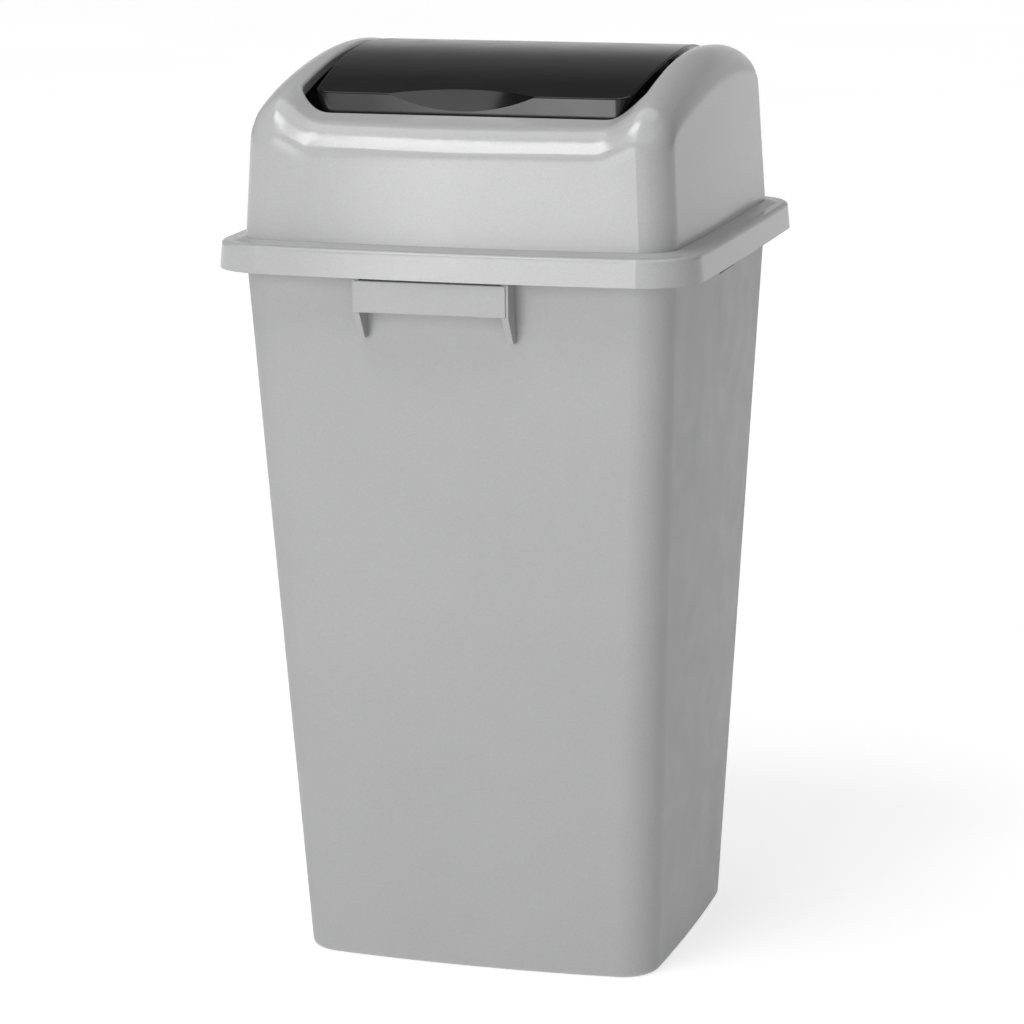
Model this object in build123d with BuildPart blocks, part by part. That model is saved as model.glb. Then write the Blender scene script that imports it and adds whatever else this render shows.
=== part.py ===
from build123d import *
import math
import os

# ---------------------------------------------------------------------------
# Swing-lid waste bin.  Millimetres, +Z up, front towards -Y, origin on the
# floor at the centre of the outline.
# ---------------------------------------------------------------------------

# bin shell
base_hx, base_hy = 142.2, 125.2        # half widths at the floor
base_r = 30.0                          # plan corner radius at the floor
base_bow_f, base_bow_s = 8.4, 2.9      # how far front and side faces bow out
top_z = 557.8                          # height at which the mouth is given
top_hx, top_hy = 169.3, 167.9          # half widths at the mouth
top_r = 26.5
top_bow_f, top_bow_s = 4.5, 5.0
wall = 2.6                             # moulded wall
floor_t = 3.2
foot_h = 3.0                           # standing ring under the floor
foot_r = 5.0                           # rounding round the floor
body_h = 560.6                         # top edge of the shell
lip_reach = 9.0                        # outward lip the lid sits over
lip_t = 2.8
lip_drop = 11.0

# carrying handles, front and rear
grip_x = -8.6                          # middle of the grip
bar_half = 57.5                        # half length of the grip plate
bar_z0, bar_z1 = 518.0, 541.6          # grip plate bottom and top
bar_reach = 18.4                       # outer face beyond the shell at the plate
bar_t = 3.4
rib_t = 5.0
rib_in = 54.5                          # inner face of each rib from the middle
rib_z0, rib_z1 = 497.0, 548.4
rib_foot = 7.0                         # how far a rib stands out at its foot

# small lugs under the rim at the middle of each side
lug_half, lug_z0, lug_out = 19.0, 529.0, 178.4

# lid hood
rim_z0 = 543.2                         # lower edge of the lid's skirt
rim_hx, rim_hy, rim_r = 186.4, 186.4, 43.5
rim_bow_f, rim_bow_s = 9.0, 1.7
rim_in = 1.8                           # the skirt leans in this much to its top
rim_top_z = 563.6
skirt_t = 2.4
hood_z = 565.8                         # foot of the hood wall
hood_hx, hood_hy, hood_r = 168.0, 167.3, 25.5
hood_bow_f, hood_bow_s = 8.5, 2.6
hood_lean = 0.0537                     # inward lean of the hood wall
hood_wall = 2.6
roll_r = 24.0                          # roll from the crown into the hood walls
roll_steep = 50.0                      # the crown surface carries the roll to here
wall_fillet = 23.0                     # and this rounding carries it into the wall

# ridge of the crown over the cheeks, side view: (y, z) from front to rear
crown = [(-200.0, 625.0), (-175.0, 646.0), (-153.3, 658.6), (-135.8, 666.4),
         (-106.7, 676.1), (-77.6, 682.8), (-43.7, 688.7), (-9.7, 693.0),
         (24.3, 695.2), (58.2, 695.0), (87.3, 692.8), (111.6, 689.4),
         (133.9, 684.4), (152.0, 678.6), (175.0, 668.5), (200.0, 654.0)]

# ledges in front of and behind the swing opening
ledge_f_y, ledge_f_z = -115.4, 656.6   # edge of the opening on the front ledge
ledge_r_y, ledge_r_z = 115.4, 667.0    # the same at the rear
ledge_slope = 13.0                     # degrees, falling away from the opening
cheek_x0, cheek_x1 = 104.0, 146.0      # a ledge swells into the cheeks here
cheek_sink = 5.0                       # crown sinks this much inside the cheeks

# swing opening and flap
open_half, open_r = 132.3, 16.0
open_edge_r = 3.0                      # rounding of the opening's edge
open_rim = 7.0                         # depth of the turned-down edge
flap_side = [(-109.6, 121.4), (-80.0, 123.5), (-50.0, 125.3), (-20.0, 126.8),
             (3.0, 127.3), (26.0, 126.8), (56.0, 125.3), (86.0, 123.5),
             (109.6, 121.7)]           # plan view: (y, half width)
flap_corner = 12.0
flap_t = 2.4
flap_side_t = 2.8
flap_crown = [(-109.6, 670.2), (-95.0, 674.0), (-77.6, 678.6), (-52.4, 684.4),
              (-19.4, 690.2), (19.4, 694.0), (48.5, 694.6), (80.0, 692.6),
              (109.6, 688.4)]
flap_edge_r = 1.2                      # rounding of the flap's upper edge
lip_f_z0, lip_r_z0 = 654.2, 666.0      # lower edges of the lips
lip_t_flap = 3.4
pivot_y, pivot_z = 3.73, 686.3         # swing axis, parallel to X
pin_r, pin_end = 3.6, 143.6
pin_clear = 0.06
bearing_x0, bearing_x1 = 132.6, 144.6

# thumb scoops in the lips: a shallow ball-shaped recess over the lip's top edge
scoop_x = -6.0
scoop_ball = 220.2
scoop_dy, scoop_dz = 168.8, 129.4      # ball centre from the lip's top edge


def outline(hx, hy, r, bf, bs):
    """Rounded rectangle with faces bowed outwards, half widths at mid face."""
    cx, cy = hx - bs, hy - bf
    with BuildSketch() as s:
        with BuildLine():
            ThreePointArc((-cx, -cy), (0, -hy), (cx, -cy))
            ThreePointArc((cx, -cy), (hx, 0), (cx, cy))
            ThreePointArc((cx, cy), (0, hy), (-cx, cy))
            ThreePointArc((-cx, cy), (-hx, 0), (-cx, -cy))
        make_face()
        fillet(s.vertices(), r)
    return s.sketch


def mix(a, b, t):
    return a + (b - a) * t


def shell_at(z, inset):
    """Outline of the bin shell at height z, moved inwards by inset."""
    t = z / top_z
    return outline(mix(base_hx, top_hx, t) - inset, mix(base_hy, top_hy, t) - inset,
                   max(mix(base_r, top_r, t) - inset, 3.0),
                   mix(base_bow_f, top_bow_f, t), mix(base_bow_s, top_bow_s, t))


def rim_at(z, inset):
    """Outline of the lid's skirt at height z, moved inwards by inset."""
    d = inset + rim_in * (z - rim_z0) / (rim_top_z - rim_z0)
    return outline(rim_hx - d, rim_hy - d, rim_r - d, rim_bow_f, rim_bow_s)


def hood_at(z, inset):
    """Outline of the hood wall at height z, moved inwards by inset."""
    d = (z - hood_z) * hood_lean
    return outline(hood_hx - d - inset, hood_hy - d - inset,
                   max(hood_r - inset, 3.0), hood_bow_f, hood_bow_s)


def front_y(z, x=0.0):
    """Distance of the shell's front face from the centre plane."""
    t = z / top_z
    bow = mix(base_bow_f, top_bow_f, t)
    return mix(base_hy, top_hy, t) - bow * (x / mix(base_hx, top_hx, t)) ** 2


def loft_between(z0, s0, z1, s1):
    """Straight-sided solid between two outlines."""
    with BuildPart() as p:
        with BuildSketch(Plane.XY.offset(z0)):
            add(s0)
        with BuildSketch(Plane.XY.offset(z1)):
            add(s1)
        loft(ruled=True)
    return p.part


def inset_path(points, d):
    """Points of a side view moved down and inwards by d."""
    out = []
    for i, (y, z) in enumerate(points):
        a = points[max(i - 1, 0)]
        b = points[min(i + 1, len(points) - 1)]
        ty, tz = b[0] - a[0], b[1] - a[1]
        n = math.hypot(ty, tz)
        out.append((y + tz / n * d, z - ty / n * d))
    return out


# ---------------------------------------------------------------------------
# Bin shell: a tapered tub with bowed faces, a rounded foot with a standing
# ring, a lip that the lid sits over and two small lugs at mid side.
# ---------------------------------------------------------------------------
tub_outer = loft_between(0, shell_at(0, 0), body_h, shell_at(body_h, 0))
tub_inner = loft_between(floor_t + foot_h, shell_at(floor_t + foot_h, wall),
                         body_h + 1, shell_at(body_h + 1, wall))
foot_hollow = loft_between(-1, shell_at(0, 16.0), foot_h, shell_at(foot_h, 16.6))

with BuildPart() as bin_body:
    add(tub_outer)
    fillet(bin_body.faces().sort_by(Axis.Z)[0].edges(), foot_r)
    # outward lip at the mouth
    with BuildSketch(Plane.XY.offset(body_h - lip_t)):
        add(shell_at(body_h, -lip_reach))
    extrude(amount=lip_t)
    # its turned-down edge
    with BuildSketch(Plane.XY.offset(body_h - lip_drop)):
        add(shell_at(body_h, -lip_reach))
        add(shell_at(body_h, -lip_reach + lip_t), mode=Mode.SUBTRACT)
    extrude(amount=lip_drop)
    # lugs at mid side: wedges that run out into the wall at their lower end
    for sx in (-1, 1):
        with BuildSketch(Plane.XZ.offset(-lug_half)):
            with BuildLine():
                Polyline((sx * 160, 553), (sx * lug_out, 553),
                         (sx * lug_out, lug_z0 + 8), (sx * 167.0, lug_z0),
                         (sx * 160, lug_z0), close=True)
            make_face()
        extrude(amount=2 * lug_half)
    add(tub_inner, mode=Mode.SUBTRACT)
    add(foot_hollow, mode=Mode.SUBTRACT)
bin_body.part.label = "bin_body"

# ---------------------------------------------------------------------------
# Carrying handle: a grip plate on two tapering ribs, standing off the shell so
# that fingers go in from below and behind the plate.  The rear one is the same.
# ---------------------------------------------------------------------------
plate_y = front_y(530.0) + bar_reach
with BuildPart() as front_handle:
    # grip plate
    with BuildSketch(Plane.YZ.offset(grip_x - bar_half)):
        with BuildLine():
            Polyline((-plate_y, bar_z0), (-plate_y, bar_z1),
                     (-plate_y + bar_t, bar_z1), (-plate_y + bar_t, bar_z0),
                     close=True)
        make_face()
    extrude(amount=2 * bar_half)
    fillet(front_handle.edges().filter_by(Axis.X), 0.9)
    # ribs behind it, running up under the lip
    for x0 in (grip_x - rib_in - rib_t, grip_x + rib_in):
        with BuildSketch(Plane.YZ.offset(x0)):
            with BuildLine():
                Polyline((-150, rib_z1), (-179.6, rib_z1),
                         (-plate_y + 1.2, bar_z1), (-plate_y + 1.2, bar_z0),
                         (-(front_y(rib_z0) + rib_foot), rib_z0), (-150, rib_z0),
                         close=True)
            make_face()
        extrude(amount=rib_t)
    add(tub_outer, mode=Mode.SUBTRACT)
front_handle.part.label = "front_handle"

with BuildPart() as rear_handle:
    add(mirror(front_handle.part, about=Plane.XZ))
rear_handle.part.label = "rear_handle"


# ---------------------------------------------------------------------------
# Lid hood: skirt over the bin's lip, shoulder flange, leaning walls, and a
# domed crown.  The crown is one smooth surface: an arch along Y whose middle
# sinks to a ledge before and behind the swing opening and swells into a cheek
# at each side, and which rolls down towards the walls all round.  The opening
# has a turned-down edge, and a bearing block at each side for the flap's pins.
# ---------------------------------------------------------------------------
def curve_through(points):
    """Smooth curve through the points, as a function of the first number."""
    n = len(points)
    xs, ys = [p[0] for p in points], [p[1] for p in points]
    b, c, d = [1.0] * n, [0.0] * n, [0.0] * n
    for i in range(1, n - 1):
        h0, h1 = xs[i] - xs[i - 1], xs[i + 1] - xs[i]
        b[i], c[i] = 2 * (h0 + h1), h1
        d[i] = 6 * ((ys[i + 1] - ys[i]) / h1 - (ys[i] - ys[i - 1]) / h0)
        if i > 1:
            w = h0 / b[i - 1]
            b[i] -= w * c[i - 1]
            d[i] -= w * d[i - 1]
    m = [0.0] * n
    for i in range(n - 2, 0, -1):
        m[i] = (d[i] - c[i] * m[i + 1]) / b[i]

    def at(x):
        i = max(0, min(n - 2, sum(1 for v in xs if v <= x) - 1))
        h, u, v = xs[i + 1] - xs[i], xs[i + 1] - x, x - xs[i]
        return ((m[i] * u ** 3 + m[i + 1] * v ** 3) / (6 * h)
                + (ys[i] / h - m[i] * h / 6) * u
                + (ys[i + 1] / h - m[i + 1] * h / 6) * v)
    return at


def ease(t):
    """Smooth step from 0 to 1."""
    t = max(0.0, min(1.0, t))
    return t * t * t * (10 - 15 * t + 6 * t * t)


ridge_at = curve_through(crown)


def cheek_and_ledge(x, y):
    """Height of the crown before it rolls down to the walls."""
    edge = ledge_r_y
    far = math.copysign(max(abs(y), edge), y)
    floor = ((ledge_f_z if y < 0 else ledge_r_z)
             - (abs(far) - edge) * math.tan(math.radians(ledge_slope)))
    sink = cheek_sink + (ridge_at(far) - floor - cheek_sink) * ease((abs(y) - 20) / (edge - 20))
    return ridge_at(y) - sink * (1 - ease((abs(x) - cheek_x0) / (cheek_x1 - cheek_x0)))


def from_wall(x, y, z):
    """Distance inwards from the hood wall's outline at height z."""
    d = (z - hood_z) * hood_lean
    hx, hy = hood_hx - d, hood_hy - d
    qx = abs(x) - (hx - hood_bow_s * min(1.0, (y / hy) ** 2)) + hood_r
    qy = abs(y) - (hy - hood_bow_f * min(1.0, (x / hx) ** 2)) + hood_r
    return hood_r - math.hypot(max(qx, 0.0), max(qy, 0.0)) - min(max(qx, qy), 0.0)


def crown_z(x, y):
    """Height of the crown's outer surface."""
    z = cheek_and_ledge(x, y)
    g = from_wall(x, y, z)
    steep = math.radians(roll_steep)
    g0 = roll_r * (1 - math.sin(steep))
    if g >= roll_r:
        return z
    if g >= g0:
        return z - roll_r + math.sqrt(roll_r ** 2 - (roll_r - g) ** 2)
    return z - roll_r * (1 - math.cos(steep)) - (g0 - g) * math.tan(steep)


def above_crown(inset):
    """Everything above the crown surface moved inwards by inset."""
    n, half, rows = 60, 180.0, []
    for i in range(n + 1):
        y, row = -half + 2 * half * i / n, []
        for j in range(n + 1):
            x = -half + 2 * half * j / n
            sx = crown_z(x + 0.5, y) - crown_z(x - 0.5, y)
            sy = crown_z(x, y + 0.5) - crown_z(x, y - 0.5)
            row.append(Vector(x, y, crown_z(x, y) - inset * math.sqrt(1 + sx * sx + sy * sy)))
        rows.append(row)
    skin = Face.make_surface_from_array_of_points(rows, tol=0.05, min_deg=3, max_deg=3)
    return Solid.extrude(skin, Vector(0, 0, 200))


def hood_solid(inset, low):
    """Hood as a filled solid, every outer surface moved inwards by inset."""
    with BuildPart() as p:
        add(loft_between(low, hood_at(low, inset), 712.0, hood_at(712.0, inset)))
        add(above_crown(inset), mode=Mode.SUBTRACT)
        fillet([e for e in p.edges() if e.bounding_box().min.Z > 600], wall_fillet - inset)
    return p.part


def opening_prism(grow, low):
    """The swing opening, made larger all round by grow, from height low up."""
    with BuildPart() as p:
        with BuildSketch(Plane.XY.offset(low)):
            Rectangle(2 * (open_half + grow), ledge_r_y - ledge_f_y + 2 * grow)
            fillet(vertices(), open_r + grow)
        extrude(amount=80)
    return p.part


# filled hood with the opening through it and the opening's edge rounded
with BuildPart() as hood_outer:
    add(hood_solid(0, hood_z - 4))
    add(opening_prism(0, 630), mode=Mode.SUBTRACT)
    fillet([e for e in hood_outer.edges()
            if e.bounding_box().min.Z > 650 and abs(e.center().X) < open_half + 0.5
            and abs(e.center().Y) < ledge_r_y + 0.5
            and e.bounding_box().max.Z - e.bounding_box().min.Z < 60
            and abs(e.tangent_at(0.5).Z) < 0.9], open_edge_r)

# space inside the hood, less the opening's turned-down edge
with BuildPart() as hood_inner:
    add(hood_solid(hood_wall, rim_z0 - 5))
    add(opening_prism(hood_wall, 640) & above_crown(open_rim), mode=Mode.SUBTRACT)

with BuildPart() as lid_hood:
    # skirt and shoulder flange
    add(loft_between(rim_z0, rim_at(rim_z0, 0), rim_top_z, rim_at(rim_top_z, 0)))
    fillet(lid_hood.faces().sort_by(Axis.Z)[-1].edges(), 3.2)
    add(loft_between(rim_top_z - 0.6, rim_at(rim_top_z, 6.0), hood_z, hood_at(hood_z, -1.5)))
    # crown
    add(hood_outer.part)
    # space inside the skirt and inside the hood
    add(loft_between(rim_z0 - 1, rim_at(rim_z0, skirt_t), body_h + 0.5,
                     rim_at(body_h + 0.5, skirt_t)), mode=Mode.SUBTRACT)
    add(hood_inner.part, mode=Mode.SUBTRACT)
    # bearing blocks, running up into the crown's wall
    under = above_crown(hood_wall / 2)
    for sx in (-1, 1):
        x0 = bearing_x0 if sx > 0 else -bearing_x1
        with BuildPart(mode=Mode.PRIVATE) as block:
            with BuildSketch(Plane.YZ.offset(x0)):
                with BuildLine():
                    Polyline((pivot_y - 12, 700), (pivot_y + 12, 700),
                             (pivot_y + 7, pivot_z - 7.5), (pivot_y - 7, pivot_z - 7.5),
                             close=True)
                make_face()
            extrude(amount=bearing_x1 - bearing_x0)
            add(under, mode=Mode.SUBTRACT)
        add(block.part)
        with BuildSketch(Plane.YZ.offset(sx * 138 - 10)):
            with Locations((pivot_y, pivot_z)):
                Circle(pin_r + pin_clear)
        extrude(amount=20, mode=Mode.SUBTRACT)
lid_hood.part.label = "lid_hood"


# ---------------------------------------------------------------------------
# Swing flap: an arched shell with a lip at each end, side walls, a thumb scoop
# in each lip and a stub pin on each side.
# ---------------------------------------------------------------------------
def flap_solid(inset_top, inset_lip, inset_side, drop):
    """Flap as a filled solid, its outer surfaces moved inwards."""
    top = list(flap_crown)
    if inset_top:
        top = inset_path(top, inset_top)
        top[0] = (flap_crown[0][0] + inset_lip, flap_crown[0][1] - inset_top * 0.97)
        top[-1] = (flap_crown[-1][0] - inset_lip, flap_crown[-1][1] - inset_top * 0.98)
    y0, y1 = top[0][0], top[-1][0]
    side = [(w - inset_side, y) for y, w in flap_side]
    side[0], side[-1] = (side[0][0], y0), (side[-1][0], y1)
    with BuildPart() as p:
        with BuildSketch(Plane.YZ.offset(-150)):
            with BuildLine():
                Spline(*top)
                Polyline(top[-1], (y1, lip_r_z0 - drop), (y0, lip_f_z0 - drop), top[0])
            make_face()
        extrude(amount=300)
        with BuildSketch(Plane.XY.offset(600)) as plan:
            with BuildLine():
                Spline(*side)
                Line(side[-1], (-side[-1][0], y1))
                Spline(*[(-x, y) for x, y in side])
                Line((-side[0][0], y0), side[0])
            make_face()
            fillet(plan.vertices(), flap_corner - inset_side)
        extrude(amount=120, mode=Mode.INTERSECT)
        if not inset_top:
            fillet([e for e in p.edges() if e.center().Z > 668 and
                    e.bounding_box().min.Z > 669], flap_edge_r)
    return p.part


def scoop(sign, grow):
    """Ball whose skin makes a thumb scoop in the lip on that side."""
    y, z = flap_crown[0] if sign < 0 else flap_crown[-1]
    return Pos(scoop_x, y + sign * scoop_dy, z + scoop_dz) * Sphere(scoop_ball + grow)


flap_outer = flap_solid(0, 0, 0, 0)
flap_inner = flap_solid(flap_t, lip_t_flap, flap_side_t, 5)
flap_outer = flap_outer - scoop(-1, 0) - scoop(1, 0)
flap_inner = flap_inner - scoop(-1, 2.6) - scoop(1, 2.6)
pin_root = flap_side[4][1] - flap_side_t

with BuildPart() as swing_flap:
    add(flap_outer)
    add(flap_inner, mode=Mode.SUBTRACT)
    for sx in (-1, 1):
        x0 = pin_root if sx > 0 else -pin_end
        with BuildSketch(Plane.YZ.offset(x0)):
            with Locations((pivot_y, pivot_z)):
                Circle(pin_r)
        extrude(amount=pin_end - pin_root)
swing_flap.part.label = "swing_flap"

# ---------------------------------------------------------------------------
# Files
# ---------------------------------------------------------------------------
os.makedirs("parts", exist_ok=True)
for piece in (bin_body, front_handle, rear_handle, lid_hood, swing_flap):
    export_step(piece.part, "parts/" + piece.part.label + ".step")
    print(piece.part.label, round(piece.part.volume), len(piece.part.solids()),
          piece.part.center(CenterOf.MASS))
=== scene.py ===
import math

import bpy
from mathutils import Matrix, Vector

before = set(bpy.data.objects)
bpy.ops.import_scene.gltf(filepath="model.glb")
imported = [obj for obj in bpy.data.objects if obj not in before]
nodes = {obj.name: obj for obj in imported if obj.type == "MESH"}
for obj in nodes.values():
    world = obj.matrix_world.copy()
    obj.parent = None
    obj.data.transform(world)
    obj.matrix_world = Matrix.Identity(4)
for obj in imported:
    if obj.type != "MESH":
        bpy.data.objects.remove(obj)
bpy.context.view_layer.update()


# ---------------------------------------------------------------- materials

def link(tree, a, b):
    tree.links.new(a, b)


def plastic(name, base, spread, rough, rough_spread, grain, grain_size, wave, specular=0.5, coat=0.0):
    """Moulded plastic: cloudy colour, a fine moulding grain, faint flow waves in the wall and uneven roughness."""
    m = bpy.data.materials.new(name)
    m.use_nodes = True
    t = m.node_tree
    bsdf = t.nodes["Principled BSDF"]
    bsdf.inputs["Specular IOR Level"].default_value = specular
    bsdf.inputs["Coat Weight"].default_value = coat
    bsdf.inputs["Coat Roughness"].default_value = 0.12
    co = t.nodes.new("ShaderNodeTexCoord")

    cloud = t.nodes.new("ShaderNodeTexNoise")
    cloud.inputs["Scale"].default_value = 7.0
    cloud.inputs["Detail"].default_value = 4.0
    link(t, co.outputs["Object"], cloud.inputs["Vector"])
    ramp = t.nodes.new("ShaderNodeValToRGB")
    ramp.color_ramp.elements[0].position = 0.3
    ramp.color_ramp.elements[1].position = 0.7
    ramp.color_ramp.elements[0].color = (*[c * (1 - spread) for c in base], 1)
    ramp.color_ramp.elements[1].color = (*[c * (1 + spread) for c in base], 1)
    link(t, cloud.outputs["Fac"], ramp.inputs["Fac"])

    speck = t.nodes.new("ShaderNodeTexNoise")
    speck.inputs["Scale"].default_value = 900.0
    speck.inputs["Detail"].default_value = 2.0
    link(t, co.outputs["Object"], speck.inputs["Vector"])
    speck_ramp = t.nodes.new("ShaderNodeValToRGB")
    speck_ramp.color_ramp.elements[0].position = 0.35
    speck_ramp.color_ramp.elements[1].position = 0.65
    speck_ramp.color_ramp.elements[0].color = (0.94, 0.94, 0.94, 1)
    speck_ramp.color_ramp.elements[1].color = (1.0, 1.0, 1.0, 1)
    link(t, speck.outputs["Fac"], speck_ramp.inputs["Fac"])
    mix = t.nodes.new("ShaderNodeMix")
    mix.data_type = "RGBA"
    mix.blend_type = "MULTIPLY"
    mix.inputs["Factor"].default_value = 1.0
    link(t, ramp.outputs["Color"], mix.inputs["A"])
    link(t, speck_ramp.outputs["Color"], mix.inputs["B"])
    link(t, mix.outputs["Result"], bsdf.inputs["Base Color"])

    scuff = t.nodes.new("ShaderNodeTexNoise")
    scuff.inputs["Scale"].default_value = 38.0
    scuff.inputs["Detail"].default_value = 6.0
    link(t, co.outputs["Object"], scuff.inputs["Vector"])
    rr = t.nodes.new("ShaderNodeMapRange")
    rr.inputs["From Min"].default_value = 0.3
    rr.inputs["From Max"].default_value = 0.7
    rr.inputs["To Min"].default_value = rough - rough_spread
    rr.inputs["To Max"].default_value = rough + rough_spread
    link(t, scuff.outputs["Fac"], rr.inputs["Value"])
    link(t, rr.outputs["Result"], bsdf.inputs["Roughness"])

    fine = t.nodes.new("ShaderNodeTexNoise")
    fine.inputs["Scale"].default_value = grain_size
    fine.inputs["Detail"].default_value = 3.0
    link(t, co.outputs["Object"], fine.inputs["Vector"])
    b1 = t.nodes.new("ShaderNodeBump")
    b1.inputs["Strength"].default_value = grain
    b1.inputs["Distance"].default_value = 0.0002
    link(t, fine.outputs["Fac"], b1.inputs["Height"])
    flow = t.nodes.new("ShaderNodeTexNoise")
    flow.inputs["Scale"].default_value = 9.0
    flow.inputs["Detail"].default_value = 1.0
    link(t, co.outputs["Object"], flow.inputs["Vector"])
    b2 = t.nodes.new("ShaderNodeBump")
    b2.inputs["Strength"].default_value = wave
    b2.inputs["Distance"].default_value = 0.002
    link(t, flow.outputs["Fac"], b2.inputs["Height"])
    link(t, b1.outputs["Normal"], b2.inputs["Normal"])
    link(t, b2.outputs["Normal"], bsdf.inputs["Normal"])
    return m


bin_mat = plastic("bin_shell_plastic", (0.34, 0.34, 0.344), 0.02, 0.46, 0.05, 0.35, 1500.0, 0.05)
lid_mat = plastic("lid_shell_plastic", (0.378, 0.378, 0.382), 0.018, 0.18, 0.025, 0.10, 1500.0, 0.04, 0.4)
flap_mat = plastic("flap_charcoal_plastic", (0.010, 0.010, 0.0105), 0.08, 0.16, 0.03, 0.06, 1200.0, 0.02)

for n, m in (("bin_body", bin_mat), ("front_handle", bin_mat), ("rear_handle", bin_mat),
             ("lid_hood", lid_mat), ("swing_flap", flap_mat)):
    o = nodes[n]
    for i in range(max(1, len(o.data.materials))):
        if i < len(o.data.materials):
            o.data.materials[i] = m
        else:
            o.data.materials.append(m)


# ---------------------------------------------------------------- floor

def disc(name, r, z, rings=8, seg=96):
    verts, faces = [(0, 0, z)], []
    for k in range(1, rings + 1):
        rr = r * (k / rings) ** 2
        for i in range(seg):
            a = 2 * math.pi * i / seg
            verts.append((rr * math.cos(a), rr * math.sin(a), z))
    for i in range(seg):
        faces.append((0, 1 + i, 1 + (i + 1) % seg))
    for k in range(rings - 1):
        b0, b1 = 1 + k * seg, 1 + (k + 1) * seg
        for i in range(seg):
            j = (i + 1) % seg
            faces.append((b0 + i, b1 + i, b1 + j, b0 + j))
    me = bpy.data.meshes.new(name)
    me.from_pydata(verts, [], faces)
    me.update()
    o = bpy.data.objects.new(name, me)
    bpy.context.scene.collection.objects.link(o)
    return o


floor = disc("studio_floor", 30.0, -0.0002)
# floor material: pale paint with faint noise, plus a painted glow (emission) added below
fm = bpy.data.materials.new("studio_floor_paint_and_glow")
fm.use_nodes = True
ft = fm.node_tree
fb = ft.nodes["Principled BSDF"]
fb.inputs["Specular IOR Level"].default_value = 0.25
fc = ft.nodes.new("ShaderNodeTexCoord")
fn = ft.nodes.new("ShaderNodeTexNoise")
fn.inputs["Scale"].default_value = 1.2
fn.inputs["Detail"].default_value = 3.0
ft.links.new(fc.outputs["Object"], fn.inputs["Vector"])
fr = ft.nodes.new("ShaderNodeValToRGB")
fr.color_ramp.elements[0].color = (0.6, 0.6, 0.6, 1)
fr.color_ramp.elements[1].color = (0.63, 0.63, 0.63, 1)
ft.links.new(fn.outputs["Fac"], fr.inputs["Fac"])
ft.links.new(fr.outputs["Color"], fb.inputs["Base Color"])
frr = ft.nodes.new("ShaderNodeMapRange")
frr.inputs["To Min"].default_value = 0.7
frr.inputs["To Max"].default_value = 0.85
ft.links.new(fn.outputs["Fac"], frr.inputs["Value"])
ft.links.new(frr.outputs["Result"], fb.inputs["Roughness"])
# painted glow: the sweep emits a little light of its own, more so far behind the object, which brightens the floor
# to white and lightens the shadow near the object
fl = ft.nodes.new("ShaderNodeVectorMath")
fl.operation = "LENGTH"
ft.links.new(fc.outputs["Object"], fl.inputs[0])
fd = ft.nodes.new("ShaderNodeMapRange")
fd.interpolation_type = "SMOOTHSTEP"
fd.inputs["From Min"].default_value = 0.4
fd.inputs["From Max"].default_value = 3.0
fd.inputs["To Min"].default_value = 1.05
fd.inputs["To Max"].default_value = 1.5
ft.links.new(fl.outputs["Value"], fd.inputs["Value"])
fg = ft.nodes.new("ShaderNodeVectorMath")
fg.operation = "SCALE"
ft.links.new(fr.outputs["Color"], fg.inputs[0])
ft.links.new(fd.outputs["Result"], fg.inputs["Scale"])
ft.links.new(fg.outputs["Vector"], fb.inputs["Emission Color"])
fb.inputs["Emission Strength"].default_value = 1.0
floor.data.materials.append(fm)


# ---------------------------------------------------------------- light

world = bpy.data.worlds.new("studio")
bpy.context.scene.world = world
world.use_nodes = True
wt = world.node_tree
bg = wt.nodes["Background"]
wc = wt.nodes.new("ShaderNodeTexCoord")
ws = wt.nodes.new("ShaderNodeSeparateXYZ")
wt.links.new(wc.outputs["Generated"], ws.inputs["Vector"])
# bright walls near the horizon, a dim ceiling
wr = wt.nodes.new("ShaderNodeValToRGB")
wr.color_ramp.interpolation = "EASE"
els = wr.color_ramp.elements
els[0].position, els[0].color = 0.0, (1.0, 1.0, 1.0, 1)
els[1].position, els[1].color = 0.6, (0.1, 0.1, 0.1, 1)
e = els.new(0.14)
e.color = (0.9, 0.9, 0.9, 1)
e = els.new(0.36)
e.color = (0.28, 0.28, 0.28, 1)
wt.links.new(ws.outputs["Z"], wr.inputs["Fac"])
# a dark flag beside the object on the right
wx = wt.nodes.new("ShaderNodeMapRange")
wx.interpolation_type = "SMOOTHSTEP"
wx.inputs["From Min"].default_value = 0.3
wx.inputs["From Max"].default_value = 0.7
wx.inputs["To Min"].default_value = 1.0
wx.inputs["To Max"].default_value = 0.1
wt.links.new(ws.outputs["X"], wx.inputs["Value"])
# and a weaker one on the left
wy = wt.nodes.new("ShaderNodeMapRange")
wy.interpolation_type = "SMOOTHSTEP"
wy.inputs["From Min"].default_value = -0.85
wy.inputs["From Max"].default_value = -0.3
wy.inputs["To Min"].default_value = 0.35
wy.inputs["To Max"].default_value = 1.0
wt.links.new(ws.outputs["X"], wy.inputs["Value"])
wf = wt.nodes.new("ShaderNodeMath")
wf.operation = "MULTIPLY"
wt.links.new(wx.outputs["Result"], wf.inputs[0])
wt.links.new(wy.outputs["Result"], wf.inputs[1])
wm = wt.nodes.new("ShaderNodeMix")
wm.data_type = "RGBA"
wm.blend_type = "MULTIPLY"
wm.inputs["Factor"].default_value = 1.0
wt.links.new(wr.outputs["Color"], wm.inputs["A"])
wt.links.new(wf.outputs["Value"], wm.inputs["B"])
wt.links.new(wm.outputs["Result"], bg.inputs["Color"])
bg.inputs["Strength"].default_value = 0.74


def aim(o, at):
    o.rotation_euler = (Vector(at) - o.location).to_track_quat("-Z", "Y").to_euler()


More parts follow.
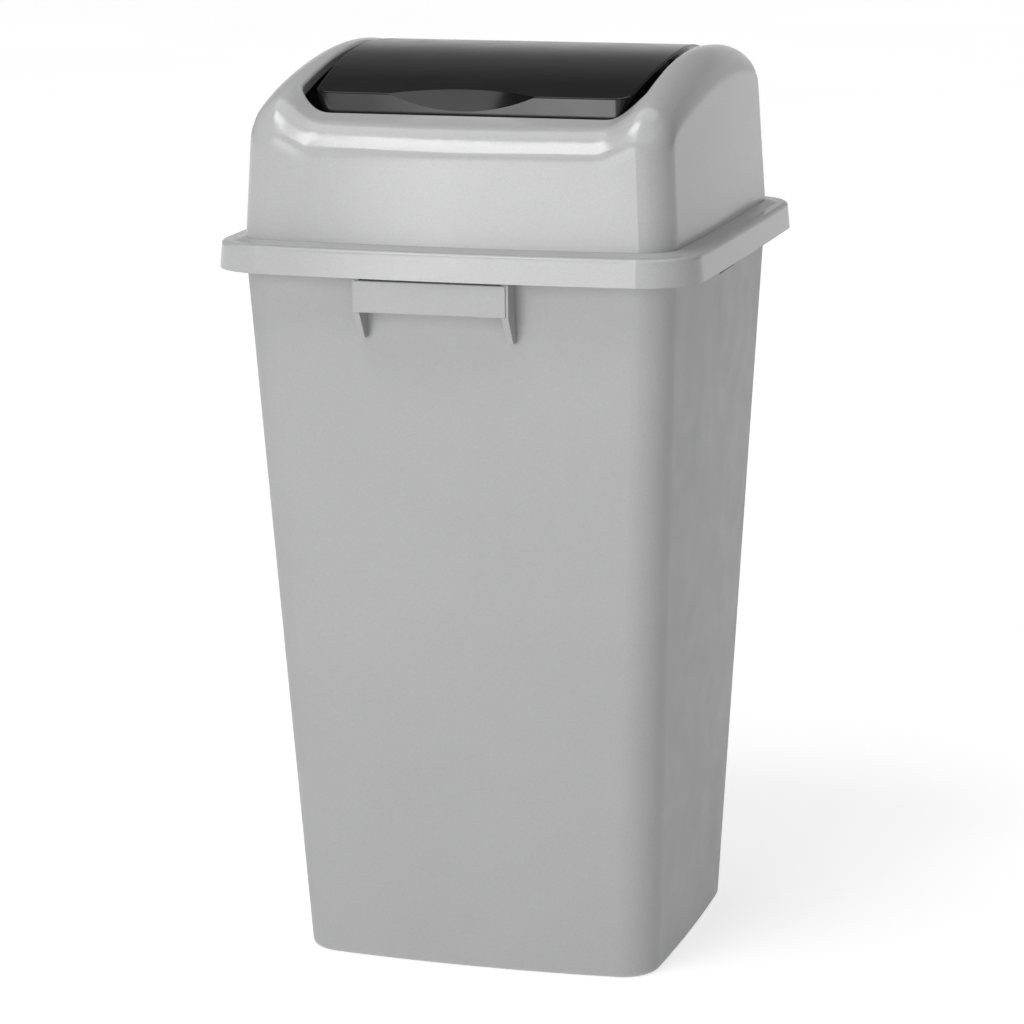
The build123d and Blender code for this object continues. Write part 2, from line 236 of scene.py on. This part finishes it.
def area(name, loc, at, sx, sy, radiance):
    """A soft box of the given size; radiance is how bright its face is."""
    d = bpy.data.lights.new(name, "AREA")
    d.shape = "RECTANGLE"
    d.size, d.size_y, d.energy = sx, sy, radiance * math.pi * sx * sy
    o = bpy.data.objects.new(name, d)
    bpy.context.scene.collection.objects.link(o)
    o.location = loc
    aim(o, at)
    o.visible_camera = False
    return o


def around(azimuth, distance, z):
    a = math.radians(azimuth)
    return (math.sin(a) * distance, -math.cos(a) * distance, z)


def front_strip(name, t0, t1, z0, z1):
    """Part of the front panel, from t0 to t1 metres right of its middle and from height z0 to z1."""
    x, y, z = around(-9.0, 2.5, (z0 + z1) / 2)
    a, t = math.radians(-9.0), (t0 + t1) / 2
    x, y = x + t * math.cos(a), y - t * math.sin(a)
    return area(name, (x, y, z), (x - math.sin(a), y + math.cos(a), z), t1 - t0, z1 - z0, 4.05)


# the dark flap is flagged off from most of the front panel and from the boxes over the front
front_strip("front_panel", -0.41, 0.42, 0.02, 0.9)
flagged = [front_strip("front_panel_high", -0.41, 0.42, 0.9, 2.22),
           front_strip("front_panel_left", -0.80, -0.41, 0.02, 2.22),
           area("top_box", (-0.52, -0.8, 2.45), (-0.1, 0, 0.65), 0.95, 0.62, 9.4),
           area("soft_top", (0.2, -0.9, 2.6), (0, 0, 0.65), 2.4, 1.3, 1.25)]
area("overhead_box", (0.0, 0.35, 2.5), (0, 0.1, 0.65), 2.2, 1.2, 2.0)
away = bpy.data.collections.new("flagged_off")
away.objects.link(nodes["swing_flap"])
for c in away.collection_objects:
    c.light_linking.link_state = "EXCLUDE"
for o in flagged:
    o.light_linking.receiver_collection = away
# the flap gets a weaker top box of its own
only = bpy.data.collections.new("flap_only")
only.objects.link(nodes["swing_flap"])
area("flap_box", (-0.2, -0.8, 2.45), (0, 0, 0.65), 1.6, 0.62, 1.7).light_linking.receiver_collection = only


# ---------------------------------------------------------------- camera

az, el, dist = math.radians(16.9857), math.radians(12.5383), 2.98810
back = Vector((math.sin(az) * math.cos(el), -math.cos(az) * math.cos(el), math.sin(el)))
right = Vector((math.cos(az), math.sin(az), 0.0))
up = back.cross(right)
place = back * dist + right * -0.003302 + up * 0.324828
roll = math.radians(0.482)
r2 = right * math.cos(roll) - up * math.sin(roll)
u2 = right * math.sin(roll) + up * math.cos(roll)
cam_data = bpy.data.cameras.new("camera")
cam_data.sensor_width = 36.0
cam_data.lens = 130.98
cam_data.clip_end = 200.0
cam_data.shift_x = 0.00026
cam = bpy.data.objects.new("camera", cam_data)
bpy.context.scene.collection.objects.link(cam)
m = Matrix.Identity(4)
for i in range(3):
    m[i][0], m[i][1], m[i][2], m[i][3] = r2[i], u2[i], back[i], place[i]
cam.matrix_world = m
bpy.context.scene.camera = cam
bpy.context.scene.view_settings.view_transform = "Standard"
